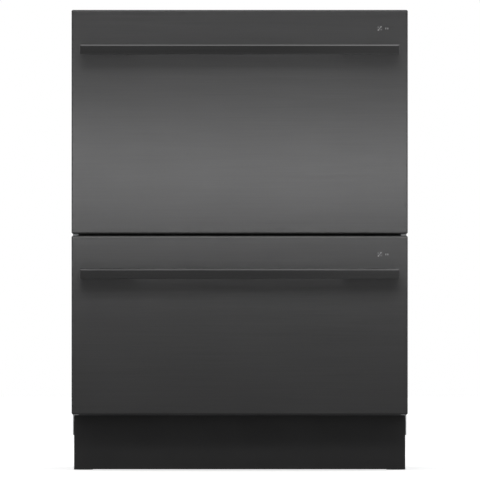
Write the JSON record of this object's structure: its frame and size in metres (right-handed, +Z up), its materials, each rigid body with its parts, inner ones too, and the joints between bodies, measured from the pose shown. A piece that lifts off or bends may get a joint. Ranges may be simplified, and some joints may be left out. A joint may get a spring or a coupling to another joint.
{
  "type": "double drawer dishwasher",
  "caption": "Built-in dishwasher with an upper and a lower wash drawer, flat bar handles and a recessed toe kick.",
  "frame": {"origin": "on the floor, at the middle of the machine's width and depth, handles included", "axes": "+Z up, the drawer fronts face -Y, +X to the right as seen from the front"},
  "size_m": [0.599, 0.615, 0.82],
  "materials": {
    "dark_steel": "dark brushed steel with a horizontal grain",
    "handle_metal": "dark satin metal",
    "black_sheet": "matte black coated sheet",
    "zinc_sheet": "zinc coated sheet steel",
    "runner_steel": "bright zinc plated steel",
    "black_plastic": "black moulded plastic",
    "white_plastic": "white moulded plastic",
    "tub_plastic": "grey moulded plastic",
    "arm_plastic": "mid grey moulded plastic",
    "motor_plastic": "black ribbed plastic",
    "filter_steel": "pressed stainless steel",
    "rack_wire": "grey plastic coated wire",
    "rack_plastic": "grey moulded plastic",
    "seal_rubber": "soft grey rubber",
    "button_metal": "satin silver plastic",
    "lens": "clear light guide over a dark ground"
  },
  "bodies": {
    "chassis": {"side_panels": "zinc_sheet", "back_panel": "zinc_sheet", "base_tray": "zinc_sheet", "base_rails": "zinc_sheet", "mid_rail": "black_sheet", "top_cover": "zinc_sheet", "toe_kick": "black_sheet", "water_valve": "white_plastic", "drain_joiner": "black_plastic", "runners_fixed": "runner_steel", "lid_lifters": "black_plastic", "screws": "runner_steel"},
    "foot_front_left": {"foot_front_left": "black_plastic"},
    "foot_front_right": {"foot_front_right": "black_plastic"},
    "foot_rear_left": {"foot_rear_left": "black_plastic"},
    "foot_rear_right": {"foot_rear_right": "black_plastic"},
    "lower_drawer": {"lower_front_panel": "dark_steel", "lower_front_frame": "black_plastic", "lower_handle": "handle_metal", "lower_control_strip": "black_plastic", "lower_indicator": "lens", "lower_tub": "tub_plastic", "lower_filter_plate": "filter_steel", "lower_wash_motor": "motor_plastic", "lower_rack": "rack_wire", "lower_rack_clips": "rack_plastic", "lower_cutlery_basket": "rack_plastic", "lower_runner_inner": "runner_steel", "lower_dispenser": "arm_plastic"},
    "lower_runners": {"lower_runner_middle": "runner_steel"},
    "lower_lid": {"lower_lid": "tub_plastic", "lower_lid_seal": "seal_rubber"},
    "lower_spray_arm": {"lower_spray_arm": "arm_plastic"},
    "lower_cup_rack": {"lower_cup_rack": "rack_plastic"},
    "lower_dispenser_flap": {"lower_dispenser_flap": "arm_plastic"},
    "lower_power_button": {"lower_power_button": "button_metal"},
    "lower_program_button": {"lower_program_button": "button_metal"},
    "lower_start_button": {"lower_start_button": "button_metal"},
    "upper_drawer": {"upper_front_panel": "dark_steel", "upper_front_frame": "black_plastic", "upper_handle": "handle_metal", "upper_control_strip": "black_plastic", "upper_indicator": "lens", "upper_tub": "tub_plastic", "upper_filter_plate": "filter_steel", "upper_wash_motor": "motor_plastic", "upper_rack": "rack_wire", "upper_rack_clips": "rack_plastic", "upper_cutlery_basket": "rack_plastic", "upper_runner_inner": "runner_steel", "upper_dispenser": "arm_plastic"},
    "upper_runners": {"upper_runner_middle": "runner_steel"},
    "upper_lid": {"upper_lid": "tub_plastic", "upper_lid_seal": "seal_rubber"},
    "upper_spray_arm": {"upper_spray_arm": "arm_plastic"},
    "upper_cup_rack": {"upper_cup_rack": "rack_plastic"},
    "upper_dispenser_flap": {"upper_dispenser_flap": "arm_plastic"},
    "upper_power_button": {"upper_power_button": "button_metal"},
    "upper_program_button": {"upper_program_button": "button_metal"},
    "upper_start_button": {"upper_start_button": "button_metal"}
  },
  "joints": [
    {"name": "foot_front_left_screw", "type": "slide", "parent": "chassis", "child": "foot_front_left", "axis": [0, 0, -1], "range_m": [0, 0.06]},
    {"name": "foot_front_right_screw", "type": "slide", "parent": "chassis", "child": "foot_front_right", "axis": [0, 0, -1], "range_m": [0, 0.06]},
    {"name": "foot_rear_left_screw", "type": "slide", "parent": "chassis", "child": "foot_rear_left", "axis": [0, 0, -1], "range_m": [0, 0.06]},
    {"name": "foot_rear_right_screw", "type": "slide", "parent": "chassis", "child": "foot_rear_right", "axis": [0, 0, -1], "range_m": [0, 0.06]},
    {"name": "lower_drawer_slide", "type": "slide", "parent": "chassis", "child": "lower_drawer", "axis": [0, -1, 0], "range_m": [0, 0.5]},
    {"name": "lower_runner_slide", "type": "slide", "parent": "chassis", "child": "lower_runners", "axis": [0, -1, 0], "range_m": [0, 0.25]},
    {"name": "lower_lid_drop", "type": "slide", "parent": "chassis", "child": "lower_lid", "axis": [0, 0, -1], "range_m": [0, 0.0065]},
    {"name": "lower_spray_spin", "type": "hinge", "parent": "lower_drawer", "child": "lower_spray_arm", "pos_m": [0, 0.0105, 0.167], "axis": [0, 0, 1], "continuous": true},
    {"name": "lower_cup_rack_fold", "type": "hinge", "parent": "lower_drawer", "child": "lower_cup_rack", "pos_m": [0.249, 0.0105, 0.292], "axis": [0, -1, 0], "range_deg": [0, 90]},
    {"name": "lower_flap_hinge", "type": "hinge", "parent": "lower_drawer", "child": "lower_dispenser_flap", "pos_m": [-0.036, -0.2229, 0.333], "axis": [-1, 0, 0], "range_deg": [0, 90]},
    {"name": "lower_power_press", "type": "slide", "parent": "lower_drawer", "child": "lower_power_button", "axis": [0, 0, -1], "range_m": [0, 0.0015], "stiffness_N_per_m": 400, "springref_m": -0.001},
    {"name": "lower_program_press", "type": "slide", "parent": "lower_drawer", "child": "lower_program_button", "axis": [0, 0, -1], "range_m": [0, 0.0015], "stiffness_N_per_m": 400, "springref_m": -0.001},
    {"name": "lower_start_press", "type": "slide", "parent": "lower_drawer", "child": "lower_start_button", "axis": [0, 0, -1], "range_m": [0, 0.0015], "stiffness_N_per_m": 400, "springref_m": -0.001},
    {"name": "upper_drawer_slide", "type": "slide", "parent": "chassis", "child": "upper_drawer", "axis": [0, -1, 0], "range_m": [0, 0.5]},
    {"name": "upper_runner_slide", "type": "slide", "parent": "chassis", "child": "upper_runners", "axis": [0, -1, 0], "range_m": [0, 0.25]},
    {"name": "upper_lid_drop", "type": "slide", "parent": "chassis", "child": "upper_lid", "axis": [0, 0, -1], "range_m": [0, 0.0065]},
    {"name": "upper_spray_spin", "type": "hinge", "parent": "upper_drawer", "child": "upper_spray_arm", "pos_m": [0, 0.0105, 0.567], "axis": [0, 0, 1], "continuous": true},
    {"name": "upper_cup_rack_fold", "type": "hinge", "parent": "upper_drawer", "child": "upper_cup_rack", "pos_m": [0.249, 0.0105, 0.692], "axis": [0, -1, 0], "range_deg": [0, 90]},
    {"name": "upper_flap_hinge", "type": "hinge", "parent": "upper_drawer", "child": "upper_dispenser_flap", "pos_m": [-0.036, -0.2229, 0.733], "axis": [-1, 0, 0], "range_deg": [0, 90]},
    {"name": "upper_power_press", "type": "slide", "parent": "upper_drawer", "child": "upper_power_button", "axis": [0, 0, -1], "range_m": [0, 0.0015], "stiffness_N_per_m": 400, "springref_m": -0.001},
    {"name": "upper_program_press", "type": "slide", "parent": "upper_drawer", "child": "upper_program_button", "axis": [0, 0, -1], "range_m": [0, 0.0015], "stiffness_N_per_m": 400, "springref_m": -0.001},
    {"name": "upper_start_press", "type": "slide", "parent": "upper_drawer", "child": "upper_start_button", "axis": [0, 0, -1], "range_m": [0, 0.0015], "stiffness_N_per_m": 400, "springref_m": -0.001}
  ],
  "couplings": [
    {"joint": "lower_runner_slide", "follows": "lower_drawer_slide", "ratio": 0.5},
    {"joint": "upper_runner_slide", "follows": "upper_drawer_slide", "ratio": 0.5}
  ]
}
